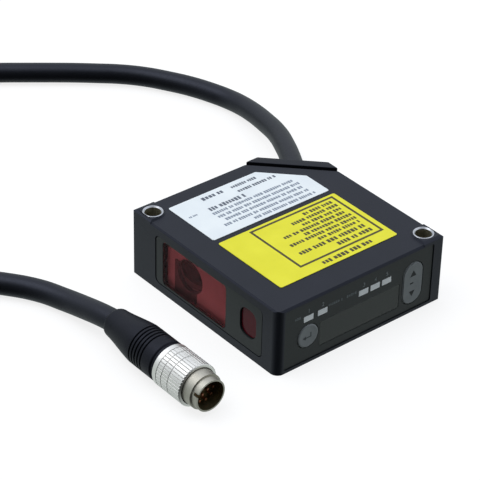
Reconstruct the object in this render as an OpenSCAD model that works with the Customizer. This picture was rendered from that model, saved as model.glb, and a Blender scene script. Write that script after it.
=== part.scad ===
// Compact laser displacement sensor with a short lead and a round push-pull connector.
// It lies on its cover. The optical face looks along -X, the key face along -Y, and the lead
// leaves by the cut corner between +X and +Y.

/* [Case] */
// Length along X, from the optical face to the back
case_x = 57; // [54:0.5:62]
// Length along Y, from the key face to the far side
case_y = 60; // [58:0.5:66]
// Height of the top face
case_z = 19.9; // [19:0.1:22]
// Wall of the case
wall = 1.8; // [1.6:0.1:2.2]
// Round of the upright corner between the optical face and the key face
near_corner_r = 2.3; // [1:0.1:3]
// Round of the other upright corners
corner_r = 0.4; // [0.3:0.1:1]
// Break of the edge round the top face
edge_break = 0.5; // [0.2:0.1:0.8]
// Leg of the cut corner
cut_leg = 18.5; // [17.5:0.5:19]
// Thickness of the cover
cover_t = 1.6; // [1.2:0.1:2]
// Thickness of the seal on the cover
seal_t = 0.4; // [0.3:0.1:0.6]

/* [Mounting] */
// Hole distance from the middle, along X
hole_x = 25; // [24.5:0.1:25.2]
// Hole distance from the middle, along Y
hole_y = 25.8; // [25.4:0.1:26]
// Diameter of the screw hole in a collar
hole_d = 4.5; // [4.2:0.1:4.8]
// Outer diameter of a collar
collar_d = 5.8; // [5.4:0.1:6]
// Wall of the column round a collar
column_wall = 0.6; // [0.5:0.1:0.7]
// Reach of a raised corner pad from the middle of its hole
pad_reach = 3.4; // [3.2:0.1:3.8]
// Height of a corner pad above the top face
pad_rise = 0.5; // [0.3:0.1:1]

/* [Optical face] */
// Length of the black front panel
front_w = 43.8; // [42:0.2:45]
// Rim of the case above and below the front panel
front_rim = 2.5; // [2.3:0.1:2.7]
// Thickness of the front panel
front_t = 0.9; // [0.7:0.1:1]
// Length of the red receiving window
receiver_w = 26.2; // [24:0.2:27]
// Frame of the front panel above and below the receiving window
receiver_rim = 0.8; // [0.7:0.1:1.4]
// Width of the laser aperture
emitter_w = 6.2; // [5.6:0.1:7]
// Height of the laser aperture
emitter_h = 8.5; // [7:0.1:10]
// How far the emitter window lies behind its panel
emitter_sink = 0.45; // [0.2:0.05:0.6]
// Diameter of the receiving lens
lens_d = 9.6; // [8:0.1:10]
// Turn of the receiving lens towards the measuring spot, in degrees
lens_turn = 22; // [18:1:25]
// Diameter of the laser barrel
barrel_d = 7.8; // [7.4:0.1:8.2]

/* [Key face] */
// Length of the key panel
panel_w = 51.1; // [50:0.1:51.4]
// Rim of the case above and below the key panel
panel_rim = 0.95; // [0.9:0.05:1.2]
// Thickness of the key panel
panel_t = 0.75; // [0.6:0.05:0.8]
// Diameter of the round key
enter_d = 6.8; // [6:0.1:7]
// Width of the rocker key
rocker_w = 7.1; // [6.4:0.1:7.3]
// Margin of the key panel above and below the rocker key
rocker_rim = 2.55; // [2.4:0.05:3]
// Length of the display window
screen_w = 27.6; // [24:0.2:27.8]
// Height of the display window
screen_h = 7.5; // [7:0.1:7.8]
// Width of an indicator light
light_w = 3.3; // [2.4:0.1:3.4]
// Height of an indicator light
light_h = 1.8; // [1.2:0.1:1.9]
// Travel of the round key
key_travel = 0.25; // [0.15:0.05:0.3]

/* [Labels] */
// Thickness of a label
label_t = 0.15; // [0.1:0.01:0.2]
// Length of both labels along X
label_w = 40.2; // [36:0.2:41]
// Width of the white label along Y
white_label_h = 19.4; // [16:0.2:20]
// Width of the yellow label along Y
yellow_label_h = 25.4; // [22:0.2:26]

/* [Lead and connector] */
// Diameter of the lead
lead_d = 6.2; // [5.6:0.1:6.4]
// Length of the tapered strain relief outside the plate
relief_len = 5.5; // [4:0.1:5.6]
// Outer diameter of the knurled coupling sleeve
sleeve_d = 12; // [11.8:0.1:12.2]
// Length of the coupling sleeve
sleeve_len = 11; // [10.6:0.1:11.4]
// Way that the sleeve slides back to unlock
sleeve_travel = 1.2; // [0.6:0.1:1.4]
// Grooves of the knurl
knurl_count = 42; // [30:2:48]
// Outer diameter of the plug's shell
shell_d = 9; // [8.8:0.1:9.2]
// Contacts in the plug's outer ring
outer_pins = 9; // [6:1:9]
// Length of the boot behind the sleeve
boot_len = 23.3; // [21:0.1:24]

/* [Hidden] */

$fn = 48;
eps = 0.01;
// Gap between fixed pieces that are glued or laid in place
fit_gap = 0.05;
// Gap round a piece that moves
run_gap = 0.2;

half_x = case_x / 2;
half_y = case_y / 2;
ceiling_z = case_z - wall;
floor_z = cover_t;
// The cover lies this far inside the case's outline
cover_inset = 1.35;
collar_top = case_z + pad_rise;
column_r = collar_d / 2 + column_wall;
holes = [[-hole_x, hole_y], [hole_x, -hole_y]];

// Cut corner: its middle, with local X pointing out of it and local Y along it
cut_mid = [half_x - cut_leg / 2, half_y - cut_leg / 2];
cut_len = cut_leg * sqrt(2);
lead_z = case_z / 2;

// Optical face, as seen along +X: positions are along Y and Z
front_mid_y = -1.9;
front_mid_z = case_z / 2;
front_h = case_z - 2 * front_rim;
receiver_h = front_h - 2 * receiver_rim;
front_recess = 0.1;
front_back_x = -half_x + front_recess + front_t;
window_flange_t = 0.8;
window_flange_y = 1;
window_flange_z = 0.4;
receiver_y = 3.95;
emitter_y = -18.3;
emitter_z = front_mid_z + 0.45;
front_r = 1.6;
front_end_gap = 0.25;
receiver_r = 1;
emitter_r = 2.6;

// The main board hangs on studs under the ceiling
stud_h = 0.8;
stud_r = 2;
board_t = 1.2;
main_board_z = ceiling_z - stud_h - board_t;

// Optical base and what stands on it
base_t = 2;
base_top = floor_z + base_t;
base_x = [-25, 4];
base_y = [-23.8, 25];
column_gap = 0.6;
mask_x = -26.4;
mask_t = 1.3;
board_gap = 0.4;
mask_top = main_board_z - board_gap;
holder_w = 13;
holder_t = 3.4;
holder_h = mask_top - base_top;
lens_x = -21.4;
lens_y = receiver_y + 5.5;
lens_lip = 0.6;
lens_mid_t = 2.6;
lens_edge_t = 1.4;
focal = 19;
sensor_w = 11;
sensor_h = 5;
sensor_t = 1.6;
sensor_board_w = 14;
sensor_board_h = holder_h - board_gap;
sensor_wall_t = 2;
barrel_x = [-25.4, -9];
cradle_x = [-24, -11];
cradle_w = 10.6;
collimator_r = 3.1;
collimator_t = 2;
beam_r = 2.4;
diode_flange_r = 2.8;
diode_flange_t = 1.2;
diode_pin_r = 0.25;
diode_pin_len = 4;

// Boards
board_inset = wall + 0.4;
studs = [[-20, 15], [20, -14], [-20, -20], [12, 18]];
chip_t = 1.2;
chips = [[14, 2, 10, 10], [14, -11, 7, 7], [2, -9, 6, 5], [16, 12, 5, 4]];
header_w = 20;
header_d = 2.5;
header_x = 6;

// Key face: positions are along X and Z
panel_x0 = -half_x + 2.5;
panel_z0 = panel_rim;
panel_h = case_z - 2 * panel_rim;
panel_recess = 0.25;
panel_face_y = -half_y + panel_recess;
panel_back_y = panel_face_y + panel_t;
ledge = 1.4;
ledge_left = 0.6;
ledge_right = 2.7;
display_gap = 3.4;
display_board_y = panel_back_y + display_gap;
display_board_x = [-half_x + wall + 2.3, hole_x - column_r - 0.7];
display_board_top = main_board_z - board_gap;
light_drop = 5;
light_z = panel_z0 + panel_h - light_drop;
lights_x = [-18, -13.3, 0.7, 4.7, 8.75];
rocker_h = panel_h - 2 * rocker_rim;
rocker_margin = 3.35;
rocker_low = 0.55;
rocker_at = [panel_x0 + panel_w - rocker_margin - rocker_w / 2, case_z / 2 - rocker_low];
rocker_gap = 1.1;
screen_right = rocker_at[0] - rocker_w / 2 - rocker_gap;
screen_lift = 0.25;
screen_at = [screen_right - screen_w / 2, (panel_z0 + light_z - light_h / 2) / 2 + screen_lift];
screen_module_t = 3.2;
screen_module = [screen_w - 1.6, screen_h - 0.9];
enter_gap = 0.65;
enter_low = 1.45;
enter_at = [screen_right - screen_w - enter_gap - enter_d / 2, case_z / 2 - enter_low];
enter_flange = 0.5;
enter_flange_t = 0.6;
enter_flange_gap = 0.1;
rocker_flange = 0.5;
rocker_flange_t = 0.5;
rocker_pivot_r = 0.6;
rocker_pivot_len = 3;
pivot_gap = 0.05;
switch_spread = rocker_h / 3;
switch_w = 3.6;
switch_t = 1.6;
plunger_r = 0.9;
plunger_len = 0.5;
plunger_gap = key_travel + 0.05;
key_back_y = display_board_y - switch_t - plunger_len - plunger_gap;
key_edge = 0.25;

// Labels
label_mid_x = -0.6;
white_label_y = 5.4;
yellow_label_y = -21.8;
white_label_cut = 10;
label_r = 0.6;

// Cable plate: its depth outside the cut corner, and how much narrower its outer edge is
plate_seal_t = 0.6;
plate_t = 2.9;
plate_margin = 0.4;
plate_seal_margin = 1.2;
plate_taper = 2.8;
plate_z_gap = 0.3;
plate_top = collar_top - 0.1;
grommet_r = lead_d / 2 + 0.8;
relief_r = [lead_d / 2 + 1.5, lead_d / 2 + 0.45];
clamp_r = lead_d / 2 + 1.9;
clamp_len = 3;
tail_len = 9;
plate_face = plate_seal_t + plate_t;

// Connector: it lies along Y, its tip towards -Y, and distances run back from the tip
plug_tip = [-51.1, -31.6];
plug_z = sleeve_d / 2 + 0.1;
shell_wall = 0.45;
shell_len = 12;
shell_nose = 2.1;
keyway_w = 0.9;
keyway_len = 1.8;
keyway_turn = 203;
collar_r = shell_d / 2 + 0.5;
sleeve_start = 5.1;
sleeve_end = sleeve_start + sleeve_len;
sleeve_mouth = 1.4;
sleeve_mouth_wall = 0.3;
skirt_len = 3.3;
nose_r = sleeve_d / 2 - 0.7;
knurl_depth = 0.25;
knurl_half = 0.24;
knurl_point = 1.4;
knurl_rim = 0.25;
knurl_rear_rim = 1.8;
ring_groove = 0.4;
ring_cut = 0.05;
ring_grooves = [4.6, 7.2];
insert_face = 4.2;
pin_r = 0.4;
pin_tip = 2.4;
pin_tail = 1.5;
outer_pin_ring = 2.9;
inner_pin_ring = 1.1;
inner_pins = 3;
body_len = 7;
body_r = 4.4;
boot_nose_start = sleeve_end - 1.6;
boot_step = sleeve_end + sleeve_travel + 0.3;
boot_end = sleeve_end + boot_len;
boot_r = sleeve_d / 2 - 0.2;
boot_rear_r = 4.15;
boot_end_r = 3.5;
boot_groove_r = 0.28;
boot_groove_pitch = 1.15;
boot_grooves = 5;
boot_groove_start = 21.3;

// Route of the lead, from the strain relief to the boot
route_start = plate_face + relief_len;
lead_exit = concat(cut_mid + route_start * [1, 1] / sqrt(2), [lead_z]);
lead_r = lead_d / 2;
lead_sides = 10;
route = [
    lead_exit,
    [29.4, 31.2, 9.8], [33.6, 37.6, 9.3], [37.6, 44.7, 8.5], [41.6, 52.7, 7.3], [44.8, 62, 5.8],
    [47, 70.8, 4.5], [47.9, 77.3, 3.6], [47.7, 83, lead_r], [46.5, 87.7, lead_r],
    [43.6, 95.8, lead_r], [39.9, 103, lead_r], [35.7, 109.7, lead_r], [30.7, 115.5, lead_r],
    [25.1, 120.5, lead_r], [19.4, 125.3, lead_r], [13.5, 129.9, lead_r], [7.6, 134.4, lead_r],
    [1.7, 138.8, lead_r], [-14, 149.3, lead_r], [-31, 158.7, lead_r], [-50, 166, lead_r],
    [-71, 170, lead_r], [-92, 168.5, lead_r], [-110.5, 161, lead_r], [-125, 147.5, lead_r],
    [-133, 130, lead_r], [-134, 111, lead_r], [-127.5, 94, lead_r], [-116, 81, lead_r],
    [-102, 71, lead_r], [-88, 63.3, lead_r], [-76, 55.8, lead_r], [-68, 49.6, lead_r],
    [-61.8, 42.9, lead_r], [-56.2, 34.6, lead_r], [-53.5, 26.8, 3.4], [-52.3, 19.3, 4.5],
    [-51.7, 13, 5.6],
    [plug_tip[0], plug_tip[1] + boot_end, plug_z]
];

// Case outline seen from above, moved inwards by inset
module outline(inset = 0) {
    x = half_x - inset;
    y = half_y - inset;
    cut = cut_leg + inset * (sqrt(2) - 2);
    rn = max(near_corner_r - inset, 0.3);
    rc = max(corner_r - inset, 0.3);
    polygon([
        [-x, -y + rn], [-x + rn, -y], [x - rc, -y], [x, -y + rc],
        [x, y - cut], [x - cut, y], [-x + rc, y], [-x, y - rc]
    ]);
    translate([-x + rn, -y + rn]) circle(rn);
    translate([x - rc, -y + rc]) circle(rc);
    translate([-x + rc, y - rc]) circle(rc);
}

// Rectangle round a middle point, with round corners
module round_rect(mid, size, r) {
    translate(mid) {
        square([size[0] - 2 * r, size[1]], center = true);
        square([size[0], size[1] - 2 * r], center = true);
        for (sx = [-1, 1], sy = [-1, 1])
            translate([sx * (size[0] / 2 - r), sy * (size[1] / 2 - r)]) circle(r);
    }
}

// Slab whose outline is drawn along Y and Z, from x0 towards +X
module front_slab(x0, t) {
    translate([x0, 0, 0]) rotate([90, 0, 90]) linear_extrude(t) children();
}

// Slab whose outline is drawn along X and Z, from y0 towards +Y
module key_slab(y0, t) {
    translate([0, y0 + t, 0]) rotate([90, 0, 0]) linear_extrude(t) children();
}

// Place on the cut corner: X points out of it, from the level of the case's wall
module at_cut(out = 0, z = 0) {
    translate([cut_mid[0], cut_mid[1], z]) rotate([0, 0, 45]) translate([out, 0, 0]) children();
}

// Rod along the lead where it goes through the cut corner
module lead_rod(r, from, to) {
    at_cut(from, lead_z) rotate([0, 90, 0]) cylinder(r = r, h = to - from);
}

// Place on the lens's line of sight, X pointing back from the lens towards the sensor
module at_lens(back = 0, z = 0) {
    translate([lens_x, lens_y, z]) rotate([0, 0, lens_turn]) translate([back, 0, 0]) children();
}

// Place on the connector: Z runs back from its tip
module at_plug(back = 0) {
    translate([plug_tip[0], plug_tip[1] + back, plug_z]) rotate([-90, 0, 0]) children();
}

module hole_columns(r, h) {
    for (p = holes) translate([p[0], p[1], -eps]) cylinder(r = r, h = h + eps);
}

// Case: what the break of the top edges takes away from a top at height z
module edge_cuts(z) {
    span = 2 * case_y;
    cut_out = (cut_mid[0] + cut_mid[1]) / sqrt(2);
    for (side = [[0, half_x], [90, half_y], [180, half_x], [270, half_y], [45, cut_out]])
        rotate([0, 0, side[0]]) translate([side[1], 0, z]) rotate([0, 45, 0])
            translate([-span / 2, -span / 2, -edge_break / sqrt(2)]) cube(span);
}

// Outline of the two raised pads, which cover their corners
module pad_outline() {
    out = 2 * pad_reach;
    for (turn = [0, 180]) rotate([0, 0, turn]) translate(holes[0]) {
        circle(pad_reach);
        translate([-out, -pad_reach]) square([out, out + pad_reach]);
        translate([-out, 0]) square([out + pad_reach, out]);
    }
}

module case_block() {
    difference() {
        linear_extrude(collar_top) outline();
        edge_cuts(collar_top);
        difference() {
            union() {
                translate([-case_x, -case_y, case_z]) cube([2 * case_x, 2 * case_y, case_z]);
                edge_cuts(case_z);
            }
            linear_extrude(collar_top + 1) pad_outline();
        }
    }
}

module case_cavity() {
    difference() {
        union() {
            translate([0, 0, -eps]) linear_extrude(ceiling_z + eps) outline(wall);
            translate([0, 0, -eps]) linear_extrude(cover_t + seal_t + eps) outline(cover_inset);
        }
        hole_columns(column_r, case_z);
        for (p = studs)
            translate([p[0], p[1], ceiling_z - stud_h]) cylinder(r = stud_r, h = stud_h + wall / 2);
    }
}

module receiver_outline(grow_y = 0, grow_z = 0) {
    size = [receiver_w + 2 * grow_y, receiver_h + 2 * grow_z];
    round_rect([receiver_y, front_mid_z], size, receiver_r);
}

module emitter_outline(grow = 0) {
    round_rect([emitter_y, emitter_z], [emitter_w + 2 * grow, emitter_h + 2 * grow], emitter_r);
}

module front_outline(grow_y = 0, grow_z = 0) {
    size = [front_w + 2 * grow_y, front_h + 2 * grow_z];
    round_rect([front_mid_y, front_mid_z], size, front_r);
}

module panel_outline(grow = 0) {
    round_rect([panel_x0 + panel_w / 2, case_z / 2], [panel_w + 2 * grow, panel_h + 2 * grow], 0.6);
}

module housing() {
    open_w = panel_w - ledge_left - ledge_right;
    open_h = panel_h - 2 * ledge;
    color("#34373f") difference() {
        case_block();
        case_cavity();
        front_slab(-half_x - eps, front_recess + front_t + eps) front_outline(front_end_gap, fit_gap);
        front_slab(-half_x, wall + 1)
            receiver_outline(window_flange_y + fit_gap, window_flange_z + fit_gap);
        front_slab(-half_x, wall + 1) emitter_outline(window_flange_z + fit_gap);
        key_slab(-half_y - eps, panel_recess + panel_t + eps) panel_outline(fit_gap);
        key_slab(-half_y, wall + eps)
            round_rect([panel_x0 + ledge_left + open_w / 2, case_z / 2], [open_w, open_h], 1);
        lead_rod(grommet_r + fit_gap, -2 * wall, 1);
        hole_columns(collar_d / 2, collar_top + 1);
    }
}

module base_cover() {
    color("#2c2f36") difference() {
        linear_extrude(cover_t) outline(cover_inset + fit_gap);
        hole_columns(column_r + fit_gap, case_z);
    }
}

// Seal along the wall, which goes round the inside of each column
module cover_seal() {
    width = wall - cover_inset - fit_gap;
    color("#1c1c1e") translate([0, 0, cover_t]) linear_extrude(seal_t) difference() {
        outline(cover_inset + fit_gap);
        difference() {
            outline(wall);
            for (p = holes) translate(p) circle(column_r + fit_gap + width);
        }
        for (p = holes) translate(p) circle(column_r + fit_gap);
    }
}

module mounting_collars() {
    bevel = 0.25;
    color("#b8bac0") for (p = holes) translate([p[0], p[1], 0]) difference() {
        cylinder(d = collar_d, h = collar_top);
        translate([0, 0, -eps]) cylinder(d = hole_d, h = collar_top + 2 * eps);
        for (end = [0, 1])
            translate([0, 0, end * collar_top]) mirror([0, 0, end])
                translate([0, 0, -eps]) cylinder(r1 = hole_d / 2 + bevel, r2 = hole_d / 2, h = bevel);
    }
}

// Optical face
module front_panel() {
    color("#26282c") front_slab(-half_x + front_recess, front_t) difference() {
        front_outline();
        receiver_outline(fit_gap, fit_gap);
        emitter_outline(fit_gap);
    }
}

module receiver_window() {
    color("#7a1f28", 0.8) {
        front_slab(-half_x + front_recess, front_t) receiver_outline();
        front_slab(front_back_x, window_flange_t) receiver_outline(window_flange_y, window_flange_z);
    }
}

module emitter_window() {
    color("#4a181c", 0.9) {
        front_slab(-half_x + 2 * front_recess + emitter_sink, front_t - front_recess - emitter_sink) emitter_outline();
        front_slab(front_back_x, window_flange_t) emitter_outline(window_flange_z);
    }
}

module optical_base() {
    color("#8d9094") difference() {
        union() {
            translate([base_x[0], base_y[0], floor_z])
                cube([base_x[1] - base_x[0], base_y[1] - base_y[0], base_t]);
            translate([cradle_x[0], emitter_y - cradle_w / 2, floor_z])
                cube([cradle_x[1] - cradle_x[0], cradle_w, emitter_z - floor_z]);
            at_lens(focal + board_t, floor_z) translate([0, -sensor_board_w / 2, 0])
                cube([sensor_wall_t, sensor_board_w, base_t + sensor_board_h]);
        }
        translate([cradle_x[0] - 1, emitter_y, emitter_z])
            rotate([0, 90, 0]) cylinder(d = barrel_d + 2 * fit_gap, h = cradle_x[1] - cradle_x[0] + 2);
        hole_columns(column_r + column_gap, case_z);
    }
}

// Upright block with a stepped hole for the lens, and a mask in front that fills the window
module lens_holder() {
    sight = 4 * holder_t;
    color("#1f2023") difference() {
        union() {
            at_lens(-holder_t / 2, base_top) translate([0, -holder_w / 2, 0])
                cube([holder_t, holder_w, holder_h]);
            translate([mask_x, receiver_y - receiver_w / 2, floor_z])
                cube([mask_t, receiver_w, mask_top - floor_z]);
        }
        at_lens(0, front_mid_z) rotate([0, 90, 0]) {
            translate([0, 0, -sight]) cylinder(d = lens_d - 2 * lens_lip, h = 2 * sight);
            translate([0, 0, -sight]) cylinder(d = lens_d, h = sight + holder_t / 2 - lens_lip);
        }
    }
}

// Half section of a lens that is flat behind and domed in front, for turning round Z
module lens_section(r, edge_t, mid_t) {
    rise = mid_t - edge_t;
    dome_r = (r * r + rise * rise) / (2 * rise);
    intersection() {
        translate([0, -mid_t]) square([r, mid_t]);
        translate([0, dome_r - mid_t]) circle(dome_r, $fn = 96);
    }
}

module receiving_lens() {
    color("#9fb4c4", 0.6) at_lens(holder_t / 2 - lens_lip, front_mid_z)
        rotate([0, 90, 0]) rotate_extrude() lens_section(lens_d / 2 - fit_gap, lens_edge_t, lens_mid_t);
}

module sensor_board() {
    color("#1f6b3c") at_lens(focal, base_top) translate([0, -sensor_board_w / 2, 0])
        cube([board_t, sensor_board_w, sensor_board_h]);
}

module image_sensor() {
    color("#2b2b30") at_lens(focal - sensor_t, front_mid_z) difference() {
        translate([0, -sensor_w / 2, -sensor_h / 2]) cube([sensor_t, sensor_w, sensor_h]);
        translate([-eps, -sensor_w / 2 + 1, -sensor_h / 2 + 1])
            cube([0.5, sensor_w - 2, sensor_h - 2]);
    }
}

module laser_barrel() {
    len = barrel_x[1] - barrel_x[0];
    color("#b9a15a") translate([barrel_x[0], emitter_y, emitter_z]) rotate([0, 90, 0]) difference() {
        cylinder(d = barrel_d, h = len);
        translate([0, 0, -eps]) cylinder(r = beam_r, h = len + 2 * eps);
        translate([0, 0, -eps]) cylinder(r = collimator_r, h = collimator_t + eps);
        translate([0, 0, len - diode_flange_t]) cylinder(r = diode_flange_r, h = diode_flange_t + eps);
    }
}

module collimator_lens() {
    color("#a9bccb", 0.6) translate([barrel_x[0] + collimator_t, emitter_y, emitter_z])
        rotate([0, 90, 0]) rotate_extrude() lens_section(collimator_r - fit_gap, 1, collimator_t);
}

module laser_diode() {
    can_r = beam_r - 0.1;
    can_len = 2.3;
    color("#c7b17a") translate([barrel_x[1], emitter_y, emitter_z]) rotate([0, 90, 0]) {
        translate([0, 0, -diode_flange_t]) cylinder(r = diode_flange_r - fit_gap, h = diode_flange_t);
        translate([0, 0, -diode_flange_t - can_len]) cylinder(r = can_r, h = can_len + eps);
        for (turn = [0 : 120 : 240])
            rotate([0, 0, turn]) translate([1, 0, -eps]) cylinder(r = diode_pin_r, h = diode_pin_len);
    }
}

// Boards
module main_board() {
    color("#1f6b3c") translate([0, 0, main_board_z]) difference() {
        linear_extrude(board_t) outline(board_inset);
        hole_columns(column_r + column_gap, case_z);
        translate([-half_x, -half_y, -board_t]) cube([case_x, display_board_y + half_y, 3 * board_t]);
    }
}

module board_chips() {
    color("#26262a") for (c = chips)
        translate([c[0] - c[2] / 2, c[1] - c[3] / 2, main_board_z - chip_t]) cube([c[2], c[3], chip_t]);
}

module board_header() {
    color("#18181a") translate([header_x - header_w / 2, display_board_y + board_t, main_board_z - header_d])
        cube([header_w, header_d, header_d]);
}

module display_board() {
    color("#1f6b3c") translate([display_board_x[0], display_board_y, floor_z])
        cube([display_board_x[1] - display_board_x[0], board_t, display_board_top - floor_z]);
}

module digit_display() {
    color("#202224") key_slab(display_board_y - screen_module_t, screen_module_t)
        round_rect(screen_at, screen_module, 0.3);
}

module tact_switch(at) {
    key_slab(display_board_y - switch_t, switch_t) round_rect(at, [switch_w, switch_w], 0.3);
    key_slab(display_board_y - switch_t - plunger_len, plunger_len + eps) translate(at) circle(plunger_r);
}

module tact_switches() {
    color("#3a3a3c") {
        tact_switch(enter_at);
        for (side = [-1, 1]) tact_switch(rocker_at + [0, side * switch_spread]);
    }
}

module rocker_seat() {
    seat_h = 3 * rocker_pivot_r;
    seat_y = key_back_y + rocker_pivot_r / 2;
    color("#2a2b2e") difference() {
        key_slab(seat_y, display_board_y - seat_y) translate(rocker_at)
            square([rocker_pivot_len + 0.6, seat_h], center = true);
        translate([rocker_at[0] - rocker_w, key_back_y, rocker_at[1]])
            rotate([0, 90, 0]) cylinder(r = rocker_pivot_r + pivot_gap, h = 2 * rocker_w);
    }
}

// Key face
module rocker_outline(grow = 0) {
    end = (rocker_h - rocker_w) / 2;
    translate(rocker_at) {
        square([rocker_w + 2 * grow, 2 * end], center = true);
        for (side = [-1, 1]) translate([0, side * end]) circle(rocker_w / 2 + grow);
    }
}

module screen_outline(grow = 0) {
    round_rect(screen_at, [screen_w + 2 * grow, screen_h + 2 * grow], 0.5);
}

module light_outlines(grow = 0) {
    for (x = lights_x) round_rect([x, light_z], [light_w + 2 * grow, light_h + 2 * grow], 0.2);
}

module display_panel() {
    color("#24282b") key_slab(panel_face_y, panel_t) difference() {
        panel_outline();
        translate(enter_at) circle(enter_d / 2 + run_gap);
        rocker_outline(run_gap);
        screen_outline(fit_gap);
        light_outlines(fit_gap);
    }
}

module display_window() {
    color("#2e322f", 0.8) key_slab(panel_face_y + 0.05, panel_t - 0.05) screen_outline();
}

module indicator_lights() {
    color("#a9adad") key_slab(panel_face_y, display_board_y - panel_face_y) light_outlines();
}

// A key's cap, its outer edge broken
module key_cap(back_y) {
    key_slab(-half_y + key_edge, back_y + half_y - key_edge) children(0);
    key_slab(-half_y, key_edge + eps) children(1);
}

module enter_key() {
    color("#63686b") {
        key_cap(key_back_y) {
            translate(enter_at) circle(d = enter_d);
            translate(enter_at) circle(d = enter_d - 2 * key_edge);
        }
        key_slab(panel_back_y + enter_flange_gap, enter_flange_t)
            translate(enter_at) circle(enter_d / 2 + enter_flange);
    }
}

module up_down_key() {
    color("#63686b") {
        key_cap(key_back_y) {
            rocker_outline();
            rocker_outline(-key_edge);
        }
        key_slab(key_back_y - rocker_flange_t, rocker_flange_t) translate(rocker_at)
            square([rocker_w - 2, rocker_h + 2 * rocker_flange], center = true);
        translate([rocker_at[0] - rocker_pivot_len / 2, key_back_y, rocker_at[1]])
            rotate([0, 90, 0]) cylinder(r = rocker_pivot_r, h = rocker_pivot_len);
    }
}

// Cut corner, where the lead goes in
module plate_outline(depth, narrow, margin) {
    half = cut_len / 2 - margin;
    polygon([[0, -half], [depth, narrow - half], [depth, half - narrow], [0, half]]);
}

module plate_seal() {
    color("#151517") difference() {
        at_cut(0, 2 * plate_z_gap) linear_extrude(case_z - 4 * plate_z_gap)
            plate_outline(plate_seal_t, 0, plate_seal_margin);
        lead_rod(grommet_r + fit_gap, -1, 2);
    }
}

module cable_plate() {
    color("#2b2e35") difference() {
        at_cut(plate_seal_t, plate_z_gap) linear_extrude(plate_top - plate_z_gap)
            plate_outline(plate_t, plate_taper, plate_margin);
        lead_rod(grommet_r + fit_gap, -1, plate_face + 1);
    }
}

module cable_grommet() {
    color("#1d1e21") difference() {
        union() {
            lead_rod(grommet_r, -wall, plate_face + eps);
            at_cut(plate_face, lead_z) rotate([0, 90, 0])
                cylinder(r1 = relief_r[0], r2 = relief_r[1], h = relief_len);
        }
        lead_rod(lead_r, -2 * wall, route_start + 1);
    }
}

module cable_clamp() {
    color("#a8abb0") difference() {
        lead_rod(clamp_r, -wall - clamp_len, -wall);
        lead_rod(lead_r, -2 * wall - clamp_len, 0);
    }
}

module cable_tail() {
    color("#232428") lead_rod(lead_r, -tail_len, route_start);
}

// Labels on the top face
module rating_label() {
    x1 = label_mid_x + label_w / 2;
    y1 = white_label_y + white_label_h;
    color("#e9f0f8") translate([0, 0, case_z]) linear_extrude(label_t) difference() {
        round_rect([label_mid_x, white_label_y + white_label_h / 2], [label_w, white_label_h], label_r);
        polygon([[x1 - white_label_cut, y1 + eps], [x1 + eps, y1 + eps], [x1 + eps, y1 - white_label_cut]]);
    }
}

module yellow_label() {
    color("#e8e244") translate([0, 0, case_z]) linear_extrude(label_t)
        round_rect([label_mid_x, yellow_label_y + yellow_label_h / 2], [label_w, yellow_label_h], label_r);
}

// Lead: a tube swept along its route
function unit(v) = v / norm(v);

// Direction of the route at one of its points
function heading(i) =
    i == 0 ? [1, 1, 0] / sqrt(2) :
    i == len(route) - 1 ? [0, -1, 0] :
    unit(unit(route[i + 1] - route[i]) + unit(route[i] - route[i - 1]));

function ring(i) =
    let (side = unit(cross(heading(i), [0, 0, 1])), up = cross(side, heading(i)))
    [for (k = [0 : lead_sides - 1])
        let (a = 360 * (k + 0.5) / lead_sides)
        route[i] + lead_r * (cos(a) * side + sin(a) * up)];

module cable() {
    n = lead_sides;
    last = len(route) - 1;
    points = [for (i = [0 : last]) each ring(i)];
    walls = [for (i = [0 : last - 1], k = [0 : n - 1])
        [i * n + k, i * n + (k + 1) % n, (i + 1) * n + (k + 1) % n, (i + 1) * n + k]];
    start_cap = [for (k = [n - 1 : -1 : 0]) k];
    end_cap = [for (k = [0 : n - 1]) last * n + k];
    color("#232428") polyhedron(points, concat([start_cap], walls, [end_cap]));
}

// Connector
module boot_section() {
    difference() {
        polygon([
            [0, boot_nose_start], [nose_r, boot_nose_start], [nose_r, sleeve_end],
            [nose_r + run_gap / 2, sleeve_end + sleeve_travel], [boot_r, boot_step],
            [boot_r, boot_groove_start + boot_grooves * boot_groove_pitch],
            [boot_rear_r, boot_end - 1.6], [boot_end_r, boot_end], [0, boot_end]
        ]);
        for (i = [0 : boot_grooves - 1])
            translate([boot_r, boot_groove_start + i * boot_groove_pitch]) scale([2, 1]) circle(boot_groove_r);
        translate([-body_r, 0]) square([2 * body_r, shell_len + body_len]);
    }
}

module connector_boot() {
    color("#26282d") at_plug() rotate_extrude() boot_section();
}

module connector_body() {
    color("#a7a9ad") at_plug(shell_len) difference() {
        union() {
            cylinder(r = collar_r, h = boot_nose_start - shell_len);
            cylinder(r = body_r, h = body_len);
        }
        translate([0, 0, -eps]) cylinder(r = lead_r, h = body_len + 2 * eps);
        translate([0, 0, -eps]) cylinder(r = outer_pin_ring + 2 * pin_r, h = 2 * pin_tail);
    }
}

// Ring of grooves, as seen along the sleeve: their points lie a little below the sleeve's core
module knurl_outline() {
    step = 360 / knurl_count;
    r = sleeve_d / 2;
    polygon([for (i = [0 : knurl_count - 1], s = [[-knurl_half, 0], [0, -knurl_point], [knurl_half, 0]])
        let (a = (i + s[0]) * step, d = r + s[1] * knurl_depth)
        d * [cos(a), sin(a)]]);
}

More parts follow.
